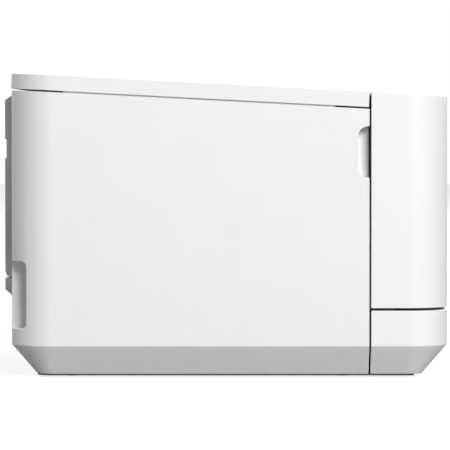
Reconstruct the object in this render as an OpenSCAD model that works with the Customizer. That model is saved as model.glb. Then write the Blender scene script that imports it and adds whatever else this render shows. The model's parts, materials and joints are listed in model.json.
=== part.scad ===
// Desktop laser printer with a front door, a paper cassette and its whole paper path.
// Millimetres, +Z up, front at -Y, origin on the floor under the middle of the casing.

/* [Casing] */
// Room on each side of the widest sheet, for the drive and the boards
side_room = 93; // [92:0.5:100]
// Depth from the front face to the back of the rear door
depth = 370.5; // [368:0.5:390]
// Height of the top edge at the rear
height = 252.6; // [250:0.2:270]
// Fall of the top towards the front, in degrees
top_fall = 3; // [2:0.1:3.4]
// Radius of the upright corners in plan
corner_r = 35; // [31:1:37]
// Wall of the moulded covers
wall = 2.5; // [2:0.1:2.8]
// Height of the chamfer round the base
chamfer_h = 24.3; // [20:0.1:25]
// Width of the chamfer round the base
chamfer_w = 21; // [16:0.5:22]
// Open seam between two covers
seam = 1.4; // [0.8:0.1:1.8]
// Height of the side band of the top cover
band_h = 12.2; // [10:0.1:14]
// How far the rear door stands out of the casing
bulge_d = 7.4; // [7:0.2:9]
// Height of the feet
foot_h = 1.8; // [1.6:0.1:3]
// Thickness of the dark rim between the feet and the covers
rim_t = 1.2; // [1:0.1:1.6]

/* [Front] */
// Depth of the front door and the cassette front
front_d = 65.3; // [64:0.1:67]
// Height of the seam between the door and the cassette
cassette_top = 57.7; // [57:0.1:59]
// Open seam under the front door
door_seam = 2; // [1.8:0.1:2.4]
// Reach of the finger recess behind the upright seam
grip_w = 10.2; // [9.5:0.1:14]
// Height of the finger recess
grip_h = 42.5; // [30:0.5:50]
// Height of the middle of the finger recess
grip_z = 187.8; // [170:0.5:195]
// Reach of the rear hand recess
lift_w = 13.3; // [10:0.1:16]
// Height of the rear hand recess
lift_h = 56; // [40:1:60]
// Height of the middle of the rear hand recess
lift_z = 69; // [66:0.5:72]

/* [Paper] */
// Width of the widest sheet
paper_w = 210; // [200:1:212]
// Length of the longest sheet
paper_l = 297; // [280:1:298]
// Height of the path on which a sheet crosses the machine
path_z = 93; // [92.8:0.1:94]
// Depth of the output bin at its rear end
bin_depth = 38; // [30:1:40]

/* [Rollers and gears] */
// Radius of the photosensitive drum
drum_r = 12; // [11.5:0.1:12.4]
// Radius of the pickup roller
pickup_r = 14; // [13:0.1:14.5]
// Radius of the registration roller
feed_r = 9.4; // [8.8:0.1:9.8]
// Radius of the transfer roller
transfer_r = 7.5; // [7:0.1:7.8]
// Radius of the heated fuser roller
fuser_r = 13; // [12:0.1:13.4]
// Radius of the fuser's pressure roller
pressure_r = 12; // [11:0.1:12.6]
// Radius of the roller shafts
shaft_r = 3; // [2.5:0.1:3.4]
// Size of the gear teeth: pitch diameter over the number of teeth
tooth_size = 1; // [0.99:0.005:1.01]

/* [Hidden] */
$fn = 64;
over = 1;
fit = 0.06;
gap = 0.3;
nip = 0.3;
fine_seam = 0.5;

// Casing planes
width = paper_w + 2 * side_room;
half_w = width / 2;
front_y = -depth / 2;
back_y = depth / 2 - bulge_d;
seam_y = front_y + front_d;
flat_x = half_w - corner_r;
inner_x = half_w - wall;
base_z = foot_h + rim_t;
chamfer_top = base_z + chamfer_h;
slant_t = wall * sqrt(1 + pow(chamfer_w / chamfer_h, 2));
chamfer_in = chamfer_top + (slant_t - wall) * chamfer_h / chamfer_w;
floor_t = 2;
rim_setback = 28;
pan_top = base_z + floor_t;

// Recesses in the side covers
grip_r = 9;
grip_d = 14;
lift_r = 4.5;
vent_count = 8;
vent_w = 2.5;
vent_pitch = 6.5;

// Rear door, its sill and its hinge
rear_side = 64;
rear_half = half_w - rear_side;
rear_wall = 2.2;
rear_z0 = 83;
rear_drop = 16.6;
rear_z1 = height - rear_drop;
rear_in = 4;
rear_slope = 5;
rear_taper = [1.4, 4.2];
rear_pivot_in = [5, 9];
rear_pivot = [back_y + bulge_d - rear_pivot_in[0], rear_z0 + rear_pivot_in[1]];
rear_pin_r = 1.2;
rear_eye_r = 2.3;
rear_ear_in = 34;
rear_ear_x = rear_half - rear_ear_in;
rear_ear_t = 3;
rear_ear_h = 27;
notch_drop = 46;
notch_z = rear_z1 - notch_drop;
notch_h = 16;
notch_d = 2;
notch_w = 20;
sill_z0 = 65;
sill_z1 = 81;
sill_slope = 6.5;
lug_leg = [15, 10];
lug_foot = [66, 74];

// Engine frame
frame_in = 48;
frame_x = half_w - frame_in;
frame_t = 1.2;
frame_front_in = 7.95;
frame_y0 = seam_y + frame_front_in;
frame_back_in = 27.85;
frame_y1 = back_y - frame_back_in;
frame_nose_in = 43.25;
frame_nose_y = front_y + frame_nose_in;
frame_nose_z = 54.5;
frame_shoulder = [-70, 172];
frame_chin_z = 108;
tower_d = 19;
tower_y = frame_y1 - tower_d;
tower_foot_d = 38;
tower_foot_y = frame_y1 - tower_foot_d;
tower_drop = 11.6;
tower_z = height - tower_drop;
hole_r = shaft_r + fit;
flange_w = 11;
flange_drop = [37.6, 17.6];
flange_z = [[62, 74], [height - flange_drop[0], height - flange_drop[1]]];
screw_r = 1.5;
screw_l = 7;
head_r = 3.5;
head_h = 2;
head_rim = 0.4;
screw_in = 5;

// Front door and its hinge
door_z0 = cassette_top + door_seam / 2;
door_pivot_in = [6, 11.5];
door_pivot = [front_y + door_pivot_in[0], door_z0 + door_pivot_in[1]];
pin_r = 1.6;
arm_r = 3.2;
ear_t = 4;
liner_side = 68;
liner_half = half_w - liner_side;
liner_d = 18;
liner_lift = 12;
liner_drop = 37.6;
liner_z = [door_pivot[1] + liner_lift, height - liner_drop];
rib_count = 5;
rib_side = 30;
rib_pitch = (liner_half - rib_side) / (rib_count - 1) * 2;
rib_t = 2.5;
rib_d = 16;
rib_h = 42;

// Control panel, in the sloping frame of the top
panel_side = 26;
panel_w = 152;
panel_x = [half_w - panel_side - panel_w, half_w - panel_side];
panel_in = [12, 10];
panel_drop = 0.4;
panel_lip = 4;
panel_lip_t = 1.5;
display_in = 42;
display_x = panel_x[0] + display_in;
display_size = [62, 24];
button_r = 5.2;
button_gap = 0.4;
button_lip = 1.4;
button_lip_t = 1;
rocker_size = [13, 26];
rocker_t = 6;
rocker_pin_r = 1;
rocker_pin_l = 2.4;
rocker_boss = [3, 4];

// Cassette
c_top = cassette_top - door_seam / 2;
tray_side = 13;
tray_half = paper_w / 2 + tray_side;
tray_t = 2;
tray_z0 = pan_top + gap;
tray_floor = tray_z0 + tray_t;
tray_top = 47;
tray_margin = 5;
tray_y0 = front_y + chamfer_w + slant_t + tray_margin;
mouth_side = 30;
mouth_half = half_w - mouth_side;
mouth_y = tray_y0 - tray_margin;
web_x = 60;
web_t = 3;
pull_half = 45;
pull_z = [31, 46];
pull_d = 14;
pull_t = 2;
rail_t = 3;
rail_h = 13;

// Drive train: teeth of each gear
drum_teeth = 46;
main_teeth = 52;
fuser_teeth = 50;
feed_idler_teeth = 76;
feed_teeth = 36;
pickup_teeth = 50;
pinion_teeth = 12;
exit_teeth = 18;
gear_gap = 2;
gear_x = frame_x + frame_t + gear_gap;
gear_t = 8;
stud_r = 3;

// Roller centres, [y, z]: those with gears stand where their gears mesh
function mesh_gap(a, b) = tooth_size * (a + b) / 2;
function run_gap(teeth) = tooth_size * teeth / 2;
function across(reach, rise) = sqrt(reach * reach - rise * rise);
function towards(a, b, d) = a + (b - a) * d / norm(b - a);
drum_c = [0, path_z + nip / 2 + drum_r];
transfer_c = [0, path_z - nip / 2 - transfer_r];
fuser_z = path_z + nip / 2 + fuser_r;
fuser_reach = run_gap(drum_teeth + 2 * main_teeth + fuser_teeth);
fuser_c = [across(fuser_reach, fuser_z - drum_c[1]), fuser_z];
pressure_c = [fuser_c[0], path_z - nip / 2 - pressure_r];
feed_z = path_z + nip / 2 + feed_r;
feed_reach = run_gap(drum_teeth + 2 * feed_idler_teeth + feed_teeth);
feed_c = [-across(feed_reach, drum_c[1] - feed_z), feed_z];
pinch_r = 6;
pinch_c = [feed_c[0], path_z - nip / 2 - pinch_r];
pickup_gap = 1.5;
pickup_z = tray_top + pickup_gap + pickup_r;
pickup_reach = run_gap(feed_teeth + pickup_teeth);
pickup_c = [feed_c[0] - across(pickup_reach, feed_z - pickup_z), pickup_z];
exit_in = 34.855;
exit_step = back_y - exit_in - fuser_c[0];
exit_drop = 25.889;
exit_far = norm([exit_step, height - exit_drop - fuser_z]);
exit_idler_teeth = round((2 * exit_far / tooth_size - fuser_teeth - exit_teeth) / 4);
exit_reach = run_gap(fuser_teeth + 4 * exit_idler_teeth + exit_teeth);
exit_c = fuser_c + [exit_step, across(exit_reach, exit_step)];
exit_r = 4.7;
exit_pinch_r = 4;
exit_pinch_shaft_r = 1.5;
exit_pinch_c = exit_c - [0, exit_r + exit_pinch_r + nip];
main_c = towards(drum_c, fuser_c, mesh_gap(drum_teeth, main_teeth));
feed_idler_c = towards(drum_c, feed_c, mesh_gap(drum_teeth, feed_idler_teeth));
pinion_angle = 65;
pinion_c = main_c + mesh_gap(main_teeth, pinion_teeth) * [cos(pinion_angle), sin(pinion_angle)];
low_idler_c = towards(fuser_c, exit_c, mesh_gap(fuser_teeth, exit_idler_teeth));
high_idler_c = towards(exit_c, fuser_c, mesh_gap(exit_teeth, exit_idler_teeth));

// Gear teeth, as shares of the module and of the pitch, and the gear bodies
root_share = 1.2;
tip_share = 0.8;
tooth_foot_share = 0.3;
tooth_tip_share = 0.13;
web_share = 0.7;
hub_r = 6;
web_sink = 2;
function mesh_phase(phase, a, b, ca, cb) =
    let (way = atan2(cb[1] - ca[1], cb[0] - ca[0]))
    way + 180 - (phase - way) * a / b + 180 / b;
drum_phase = 0;
main_phase = mesh_phase(drum_phase, drum_teeth, main_teeth, drum_c, main_c);
fuser_phase = mesh_phase(main_phase, main_teeth, fuser_teeth, main_c, fuser_c);
pinion_phase = mesh_phase(main_phase, main_teeth, pinion_teeth, main_c, pinion_c);
feed_idler_phase = mesh_phase(drum_phase, drum_teeth, feed_idler_teeth, drum_c, feed_idler_c);
feed_phase = mesh_phase(feed_idler_phase, feed_idler_teeth, feed_teeth, feed_idler_c, feed_c);
pickup_phase = mesh_phase(feed_phase, feed_teeth, pickup_teeth, feed_c, pickup_c);
low_idler_phase = mesh_phase(fuser_phase, fuser_teeth, exit_idler_teeth, fuser_c, low_idler_c);
high_idler_phase = mesh_phase(low_idler_phase, exit_idler_teeth, exit_idler_teeth, low_idler_c, high_idler_c);
exit_phase = mesh_phase(high_idler_phase, exit_idler_teeth, exit_teeth, high_idler_c, exit_c);

// Rollers along their shafts
shaft_tip = 0.8;
shaft_end = frame_x + frame_t + shaft_tip;
pickup_half = 22;
pickup_flat = 11;
feed_side = 7;
feed_half = paper_w / 2 + feed_side;
exit_roll_in = 25;
exit_roll_mid = 30;
exit_roll_far = paper_w / 2 - exit_roll_in;
exit_rolls = [-exit_roll_far, -exit_roll_mid, exit_roll_mid, exit_roll_far];
exit_roll_w = 12;

// Paper beyond the pickup roller
lead_in = 9;
lead_y = pickup_c[0] - lead_in;
tail_y = lead_y + paper_l;
sheet_rise = 3.4;
sheet_z = tray_floor + sheet_rise;
rear_guide_t = 3;
rear_guide_half = 25;
rear_guide_foot = 10;
rear_guide_z = 40;
rear_guide_cut = [4, 9.4];
rear_guide_heel = [2.2, 7.6];
tray_cut = [12, 14];
tray_tail = 6.4;
tray_y1 = tail_y + gap + rear_guide_t + tray_tail;
rib_x = [40, 80];
paper_rib_t = 2;
paper_rib_y = 98;

// Separation pad, square to the line from the pickup roller
pad_gap = 0.5;
pad_size = [12, 3];
pad_half = 20;
pad_far = pickup_r + pad_gap + pad_size[1];
pad_back = pickup_c - pad_far * [cos(45), sin(45)];
pad_along = pad_size[0] / 3 * [cos(45), -sin(45)];

// Lift plate
lift_side = 9;
lift_half = paper_w / 2 - lift_side;
lift_y1 = -22;
lift_t = 1.2;
lift_pin_r = 1;
lift_pin_l = 3;
lift_pin_rise = 1.7;
lift_pin_z = tray_floor + lift_pin_rise;
lift_post = [4, 8];

// Side guides with their racks and pinion
rack_y = 40;
rack_size = 1.25;
rack_teeth = 14;
rack_r = rack_size * rack_teeth / 2;
rack_pitch = rack_size * PI;
rack_back = 4;
rack_h = 3;
rack_end = 10;
rack_count = 12;
guide_t = 2;
guide_half = 55;
guide_y = [rack_y - guide_half, rack_y + guide_half];
guide_foot_t = 1.5;
guide_drop = 2;
guide_top = tray_top - guide_drop;
guide_stud_r = 2;

// Paper path guide
path_t = 2;
path_drop = 1.5;
path_top = path_z - path_drop;
path_gap = [2, 8];
path_y = [feed_c[0] + feed_r + path_gap[0], fuser_c[0] - pressure_r - path_gap[1]];
seat = 0.1;
span_x = frame_x - seat;
path_slot = [9, feed_half + path_t];

// Toner cartridge
cart_side = 4;
cart_half = frame_x - cart_side;
cart_wall = 3;
cart_z0 = 104;
cart_z1 = 151;
cart_y0 = -88;
cart_y1 = 20;
cart_low = 96.5;
cart_belly = [-34, -27, 16, 100];
drum_bay_r = 13.2;
drum_side = 15;
drum_half = frame_x - drum_side;
drum_inset = 2.4;
drum_tip = frame_x - drum_inset;
dev_r = 8;
dev_angle = 175;
dev_c = drum_c + (drum_r + dev_r + nip) * [cos(dev_angle), sin(dev_angle)];
dev_bay_r = 9;
hopper_c = [-58, 128];
hopper_r = 20.5;
paddle_r = 17;
paddle_t = 2;
beam_y = [3, 8];
beam_side = 3;
beam_half = paper_w / 2 + beam_side;
cart_lip = [10, 60, 3, 138];
cart_tab = [8, -84, -36];

// Laser scanner
deck_z = 155;
deck_y = [-70, 60];
deck_t = 1.2;
scan_side = 35;
scan_half = frame_x - scan_side;
scan_y = [-66, 50];
scan_h = 30;
scan_wall = 2;
scan_z = deck_z + deck_t;
scan_floor = scan_z + scan_wall;
spin_y = -42;
spin_stud_r = 2.5;
spin_stud_h = 11;
rotor_r = 14;
rotor_h = 5;
facet_r = 11;
facet_h = 4;
lens_y = [-14, -4];
lens_half = 45;
lens_h = 12;
lens_arc = 130;
mirror_c = [8, 172];
mirror_size = [12, 3];
mirror_half = paper_w / 2;
mirror_post_in = [7, 1];
mirror_post = [mirror_half - mirror_post_in[0], mirror_half - mirror_post_in[1]];
mirror_post_y = 20;

// Fuser
fuse_y = [-19, 21];
fuse_z = [64, 124];
fuse_wall_t = 6;
fuse_slot = [80, 106];
fuser_side = 30;
fuser_half = frame_x - fuser_side;
tie_t = 3;

// Motor
motor_r = 16;
motor_l = 22;
motor_flange = [19, 1.5];
motor_shaft_r = 2;

// Boards
board_off = 6;
board_t = 1.6;
board_x = frame_x + frame_t + board_off;
post_r = 2.5;
board_back_in = 9.85;
main_board_y = [24, back_y - board_back_in];
main_board_z = [78, 176];
main_posts = [[34, 88], [140, 88], [34, 166], [140, 166]];
main_chips = [[60, 120, 28, 28, 3], [104, 132, 18, 12, 2], [80, 92, 22, 10, 6], [46, 100, 8, 40, 8]];
power_board_y = [-106, 12];
power_board_z = [18, 132];
power_posts = [[-98, 26], [4, 26], [-60, 124], [4, 124]];
power_chips = [[-80, 60, 30, 30, 26], [-34, 70, 18, 18, 30], [-34, 30, 22, 12, 22], [-84, 104, 26, 10, 18]];

// Sockets at the rear
socket_w = 14;
socket_x = [board_x - socket_w, board_x];
socket_l = 20.85;
socket_y0 = back_y - socket_l;
net_z = [104, 118];
usb_z = [124, 136];
socket_t = 1;
socket_rim = 3;
socket_d = 13;
inlet_side = 58;
inlet_x = -half_w + inlet_side;
inlet_z = 44;
inlet_size = [27, 20];
inlet_flange = [33, 26, 2];
inlet_d = 25;
inlet_bay = [23, 15.5, 15];
blade_size = [2, 4, 9];
blade_step = 7;
blade_rise = 1;

// Fan behind the vents of the right cover
fan_y = 105;
fan_drop = 87.6;
fan_c = [fan_y, height - fan_drop];
fan_size = 60;
fan_d = 15;
fan_r = 27;
fan_hub_r = 9;
fan_tip = 1.5;
fan_count = 7;
fan_blade = [11, 1.5];
fan_tilt = 35;
fan_pin_r = 1.5;
strut = [3, 2];

// Top cover and output bin, in the sloping frame of the top
slope_cos = cos(top_fall);
lid_y0 = (seam_y + seam / 2 - back_y) / slope_cos;
bin_side = 12;
bin_half = paper_w / 2 + bin_side;
bin_front_in = 42.508;
bin_y0 = lid_y0 + bin_front_in;
bin_y1 = -44;
slot_side = 2;
slot_half = paper_w / 2 + slot_side;
slot_reach = 12;
slot_z = [exit_pinch_c[1] - exit_pinch_r, exit_c[1] + exit_r];
tongue_in = [27.508, 45];
tongue_y = [lid_y0 + tongue_in[0], -tongue_in[1]];
tongue_h = 7;
stop_in = 9.508;
stop_y = lid_y0 + stop_in;
stop_l = 30;
stop_half = 35;
stop_t = 3;
stop_drop = 0.8;
stop_front = 3.3;
stop_pin = [1, 1.6];
stop_grip_r = 8;

// Feet
foot_r = 9;
foot_side = 53;
foot_x = half_w - foot_side;
foot_in = [87.25, 49.85];
foot_y = [front_y + foot_in[0], back_y - foot_in[1]];

door_y0 = (front_y - back_y) / slope_cos;
door_y1 = (seam_y - seam / 2 - back_y) / slope_cos;
panel_y = [door_y0 + panel_in[0], door_y1 - panel_in[1]];
key_y = (panel_y[0] + panel_y[1]) / 2;
panel_low = -wall - panel_lip_t;
rocker_in = 88;
rocker_x = panel_x[0] + rocker_in;
rocker_z = panel_low - rocker_boss[0] / 2;
button_in = [107, 124, 141];
button_x = [for (b = button_in) panel_x[0] + b];

// A 2D outline drawn as [y, z], drawn out from x0 to x1
module along_x(x0, x1) translate([x0, 0, 0]) rotate([90, 0, 90]) linear_extrude(x1 - x0) children();

// A 2D outline drawn as [x, z], drawn out from y0 to y1
module along_y(y0, y1) translate([0, y1, 0]) rotate([90, 0, 0]) linear_extrude(y1 - y0) children();

module block(lo, hi) translate(lo) cube(hi - lo);

module rod(c, r, x0, x1) along_x(x0, x1) translate(c) circle(r);

module both_sides() {
    children();
    mirror([1, 0, 0]) children();
}

module round_rect(lo, hi, r) {
    translate([lo[0] + r, lo[1]]) square([hi[0] - lo[0] - 2 * r, hi[1] - lo[1]]);
    translate([lo[0], lo[1] + r]) square([hi[0] - lo[0], hi[1] - lo[1] - 2 * r]);
    for (x = [lo[0] + r, hi[0] - r]) for (y = [lo[1] + r, hi[1] - r]) translate([x, y]) circle(r);
}

// Outline of the casing seen from above, drawn in by inset
module plan(inset) round_rect([-half_w + inset, front_y + inset], [half_w - inset, back_y - inset],
    corner_r - inset);

// The sloping frame of the top: its origin is the middle of the top's rear edge
module on_top() translate([0, back_y, height]) rotate([top_fall, 0, 0]) children();

module above_top(drop) on_top() translate([-width, -2 * depth, -drop]) cube([2 * width, 3 * depth, height]);

// Section of a cover wall with the chamfered skirt: r from the corner's centre, then z
module skirt(top) polygon([[corner_r - chamfer_w, base_z], [corner_r, chamfer_top], [corner_r, top],
    [corner_r - wall, top], [corner_r - wall, chamfer_in], [corner_r - chamfer_w - slant_t, base_z]]);

// Finger recess, open to the upright seam
module grip_outline(grow) round_rect([seam_y - grip_w - 2 * grip_r, grip_z - grip_h / 2 - grow],
    [seam_y + grip_w + grow, grip_z + grip_h / 2 + grow], grip_r + grow);

// Hand recess, open to the rear
module lift_outline(grow) round_rect([back_y - lift_w - grow, lift_z - lift_h / 2 - grow],
    [back_y + lift_w, lift_z + lift_h / 2 + grow], lift_r + grow);

module side_cover() difference() {
    union() {
        along_y(seam_y + seam / 2, back_y - corner_r) translate([flat_x, 0]) skirt(height);
        translate([flat_x, back_y - corner_r, 0]) rotate_extrude(angle = 90) skirt(height);
        intersection() {
            along_x(half_w - grip_d - wall, half_w) grip_outline(wall);
            block([0, seam_y + seam / 2, 0], [half_w, back_y, height]);
        }
        intersection() {
            along_x(flat_x, half_w) lift_outline(wall);
            linear_extrude(height) plan(0);
        }
    }
    above_top(band_h + seam);
    along_x(half_w - grip_d, half_w + over) grip_outline(0);
    along_x(flat_x + wall, half_w + over) lift_outline(0);
}

module left_cover() color("whitesmoke") mirror([1, 0, 0]) side_cover();

module right_cover() color("whitesmoke") difference() {
    side_cover();
    along_x(inner_x - over, half_w + over) translate(fan_c) for (i = [0 : vent_count - 1])
        let (y = (i - (vent_count - 1) / 2) * vent_pitch)
        translate([y - vent_w / 2, -across(fan_r, y)]) square([vent_w, 2 * across(fan_r, y)]);
}

module pan_plan(inset, y0) intersection() {
    plan(inset);
    translate([-half_w, y0]) square([width, depth]);
}

// Floor of the casing, with a rim that the covers stand on; it reaches on under the cassette
module base_pan() color("dimgray") {
    translate([0, 0, base_z - over / 2]) linear_extrude(floor_t + over / 2)
        pan_plan(chamfer_w + slant_t + gap, seam_y + seam / 2);
    translate([0, 0, foot_h]) linear_extrude(rim_t) pan_plan(chamfer_w + gap, seam_y + seam / 2);
    translate([0, 0, foot_h]) linear_extrude(rim_t - gap) pan_plan(chamfer_w + gap, front_y + rim_setback);
    both_sides() block([tray_half + gap, seam_y + seam, base_z],
        [tray_half + gap + rail_t, back_y - chamfer_w - slant_t - gap, pan_top + rail_h]);
}

module feet() color("black") for (x = [-foot_x, foot_x]) for (y = foot_y)
    translate([x, y, 0]) cylinder(foot_h, foot_r, foot_r);

module lid_plan(inset) intersection() {
    round_rect([-half_w + inset, 2 * lid_y0], [half_w - inset, -inset], corner_r - inset);
    translate([-half_w, lid_y0 + inset]) square([width, -lid_y0]);
}

module top_cover() color("whitesmoke") difference() {
    union() {
        on_top() {
            difference() {
                translate([0, 0, -band_h]) linear_extrude(band_h) lid_plan(0);
                translate([0, 0, -band_h - over]) linear_extrude(band_h + over - wall) lid_plan(wall);
            }
            along_x(-bin_half - wall, bin_half + wall) polygon([[bin_y0, -wall / 2], [bin_y0, -wall],
                [bin_y1 + wall, -bin_depth - wall], [bin_y1 + wall, -wall / 2]]);
            block([-stop_half - gap - wall, stop_y - stop_front - wall, -stop_t - stop_drop - wall],
                [stop_half + gap + wall, stop_y + stop_l + gap + wall, -wall / 2]);
            both_sides() block([inner_x - gap - wall, tongue_y[0], -band_h - tongue_h],
                [inner_x - gap, tongue_y[1], -wall / 2]);
        }
    }
    on_top() {
        along_x(-bin_half, bin_half)
            polygon([[bin_y0, over], [bin_y0, 0], [bin_y1, -bin_depth], [bin_y1, over]]);
        block([-stop_half - gap, stop_y - stop_front, -stop_t - stop_drop],
            [stop_half + gap, stop_y + stop_l + gap, over]);
        rod([stop_y, -stop_t / 2], stop_pin[0] + fit, -stop_half - gap - stop_pin[1],
            stop_half + gap + stop_pin[1]);
    }
    block([-slot_half, exit_c[0] - slot_reach, slot_z[0]], [slot_half, exit_c[0], slot_z[1]]);
}

module paper_stop() color("gainsboro") on_top() difference() {
    union() {
        rod([stop_y, -stop_t / 2], stop_t / 2, -stop_half, stop_half);
        block([-stop_half, stop_y, -stop_t], [stop_half, stop_y + stop_l, 0]);
        rod([stop_y, -stop_t / 2], stop_pin[0], -stop_half - gap - stop_pin[1] + fit,
            stop_half + gap + stop_pin[1] - fit);
    }
    translate([0, stop_y + stop_l, -stop_t - over]) cylinder(stop_t + 2 * over, stop_grip_r, stop_grip_r);
}

module rear_cover() color("lightgray") {
    difference() {
        union() {
            along_x(-flat_x + fine_seam, flat_x - fine_seam)
                translate([back_y - corner_r, 0]) skirt(height);
            along_x(-rear_half, rear_half) polygon([[back_y - wall / 2, sill_z0], [back_y, sill_z0],
                [back_y + bulge_d, sill_z0 + sill_slope], [back_y + bulge_d, sill_z1],
                [back_y - wall / 2, sill_z1]]);
        }
        above_top(band_h + seam);
        block([-rear_half - fine_seam, back_y - 2 * wall, sill_z1],
            [rear_half + fine_seam, back_y + over, rear_z1 + fine_seam]);
        rear_screw_places() rotate([90, 0, 0]) {
            cylinder(wall + over, screw_r + fit, screw_r + fit);
            screw_head(fit);
        }
        block([inlet_x - inlet_size[0] / 2 - gap, back_y - 2 * wall, inlet_z - inlet_size[1] / 2 - gap],
            [inlet_x + inlet_size[0] / 2 + gap, back_y + over, inlet_z + inlet_size[1] / 2 + gap]);
        block([-socket_x[1] - gap, back_y - 2 * wall, net_z[0] - socket_rim - gap],
            [-rear_half, back_y + over, usb_z[1] + socket_rim + gap]);
    }
    both_sides() rear_lug();
}

module rear_lug() along_x(rear_ear_x + rear_ear_t + over, rear_ear_x + 2 * rear_ear_t + over) difference() {
    union() {
        translate(rear_pivot) circle(rear_eye_r);
        translate([back_y - lug_leg[0], rear_pivot[1] - rear_eye_r])
            square([rear_pivot[0] - back_y + lug_leg[0], 2 * rear_eye_r]);
        translate([back_y - lug_leg[0], lug_foot[0]])
            square([lug_leg[0] - lug_leg[1], rear_pivot[1] + rear_eye_r - lug_foot[0]]);
        translate([back_y - lug_leg[0], lug_foot[0]])
            square([lug_leg[0] - wall / 2, lug_foot[1] - lug_foot[0]]);
    }
    translate(rear_pivot) circle(rear_pin_r + fit);
}

module rear_screw_places() for (x = [-1, 1]) for (z = flange_z)
    translate([x * (frame_x - screw_in), back_y, (z[0] + z[1]) / 2]) children();

// Sunk head, its top flush with the cover
module screw_head(grow) rotate_extrude() polygon([[0, -grow], [head_r + grow, -grow], [head_r + grow, head_rim],
    [screw_r + grow, head_h], [0, head_h]]);

module rear_screws() color("silver") rear_screw_places() rotate([90, 0, 0]) {
    screw_head(0);
    cylinder(screw_l, screw_r, screw_r);
}

module rear_door() color("lightgray") {
    difference() {
        along_x(-rear_half, rear_half) polygon([[back_y - rear_in, rear_z0],
            [back_y + bulge_d - rear_taper[0], rear_z0], [back_y + bulge_d, rear_z0 + rear_taper[1]],
            [back_y + bulge_d, rear_z1 - rear_slope], [back_y, rear_z1], [back_y - rear_in, rear_z1]]);
        along_x(-rear_half + rear_wall, rear_half - rear_wall) polygon([
            [back_y - rear_in - over, rear_z0 - over], [back_y + bulge_d - rear_wall, rear_z0 - over],
            [back_y + bulge_d - rear_wall, rear_z1 - rear_slope - rear_wall / 2],
            [back_y - rear_wall / 2, rear_z1 - rear_wall], [back_y - rear_in - over, rear_z1 - rear_wall]]);
        both_sides() block([rear_half - notch_w, back_y + bulge_d - notch_d, notch_z - notch_h / 2],
            [rear_half + over, back_y + bulge_d + over, notch_z + notch_h / 2]);
    }
    both_sides() {
        block([rear_half - notch_w - rear_wall, back_y, notch_z - notch_h / 2 - rear_wall],
            [rear_half - rear_wall / 2, back_y + bulge_d - notch_d, notch_z + notch_h / 2 + rear_wall]);
        block([rear_ear_x, back_y - rear_in, rear_z0 + rear_taper[1]],
            [rear_ear_x + rear_ear_t, back_y + bulge_d - rear_wall / 2, rear_z0 + rear_ear_h]);
        rod(rear_pivot, rear_pin_r, rear_ear_x + rear_ear_t / 2, rear_ear_x + 2 * rear_ear_t + 2 * over);
    }
}

module door_solid(inset, drop, low, open) difference() {
    translate([0, 0, low]) linear_extrude(height) intersection() {
        plan(inset);
        translate([-half_w, front_y]) square([width, front_d - seam / 2 + open]);
    }
    above_top(drop);
}

module front_door() color("whitesmoke") {
    difference() {
        door_solid(0, 0, door_z0, 0);
        door_solid(wall, wall, door_z0 - over, over);
        on_top() block([panel_x[0] - gap, panel_y[0] - gap, -wall - over],
            [panel_x[1] + gap, panel_y[1] + gap, over]);
    }
    both_sides() difference() {
        along_x(frame_x + frame_t + ear_t / 2, frame_x + frame_t + 3 * ear_t / 2) union() {
            translate(door_pivot) circle(arm_r);
            translate([front_y + wall / 2, door_pivot[1] - arm_r])
                square([door_pivot_in[0] - wall / 2, 2 * arm_r]);
        }
        rod(door_pivot, pin_r + fit, frame_x, frame_x + frame_t + 2 * ear_t);
    }
}

module hinge_pins() color("silver") both_sides()
    rod(door_pivot, pin_r, frame_x - fit, frame_x + frame_t + 3 * ear_t / 2 + fit);

module door_liner() color("darkgray") {
    face_y = front_y + liner_d;
    difference() {
        block([-liner_half, front_y + wall, liner_z[0]], [liner_half, face_y, liner_z[1]]);
        block([-liner_half + wall, front_y, liner_z[0] + wall],
            [liner_half - wall, face_y - wall, liner_z[1] - wall]);
    }
    for (i = [0 : rib_count - 1])
        let (x = (i - (rib_count - 1) / 2) * rib_pitch)
        along_x(x - rib_t / 2, x + rib_t / 2) polygon([[face_y - wall / 2, liner_z[0]],
            [face_y + rib_d, liner_z[0]], [face_y + rib_d, liner_z[0] + rib_h / 2],
            [face_y, liner_z[0] + rib_h], [face_y - wall / 2, liner_z[0] + rib_h]]);
}

module key_hole(x, r) translate([x, key_y, panel_low - over]) cylinder(-panel_low + 2 * over, r, r);

module rocker_outline(grow) translate([rocker_x, key_y]) round_rect(-rocker_size / 2 - [grow, grow],
    rocker_size / 2 + [grow, grow], rocker_boss[0] + grow);

module display_block(grow, z0, z1) translate([display_x, key_y, 0])
    block([-display_size[0] / 2 - grow, -display_size[1] / 2 - grow, z0],
        [display_size[0] / 2 + grow, display_size[1] / 2 + grow, z1]);

module control_panel() color("darkslategray") on_top() {
    difference() {
        union() {
            block([panel_x[0], panel_y[0], panel_low], [panel_x[1], panel_y[1], -panel_drop]);
            block([panel_x[0] - panel_lip, panel_y[0] - panel_lip, panel_low],
                [panel_x[1] + panel_lip, panel_y[1] + panel_lip, -wall]);
        }
        display_block(gap, panel_low - over, over);
        for (x = button_x) key_hole(x, button_r + button_gap);
        translate([0, 0, panel_low - over]) linear_extrude(height) rocker_outline(button_gap);
    }
    difference() {
        for (s = [-1, 1])
            translate([rocker_x + s * (rocker_size[0] / 2 + button_gap + rocker_boss[0] / 2), key_y, 0])
            block([-rocker_boss[0] / 2, -rocker_boss[1] / 2, panel_low - rocker_boss[0]],
                [rocker_boss[0] / 2, rocker_boss[1] / 2, panel_low]);
        rod([key_y, rocker_z], rocker_pin_r + fit, rocker_x - rocker_size[0], rocker_x + rocker_size[0]);
    }
}

module display_window() color("black") on_top() {
    display_block(0, panel_low, -panel_drop - fine_seam / 2);
    display_block(2 * fine_seam, panel_low - button_lip_t, panel_low);
}

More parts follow.
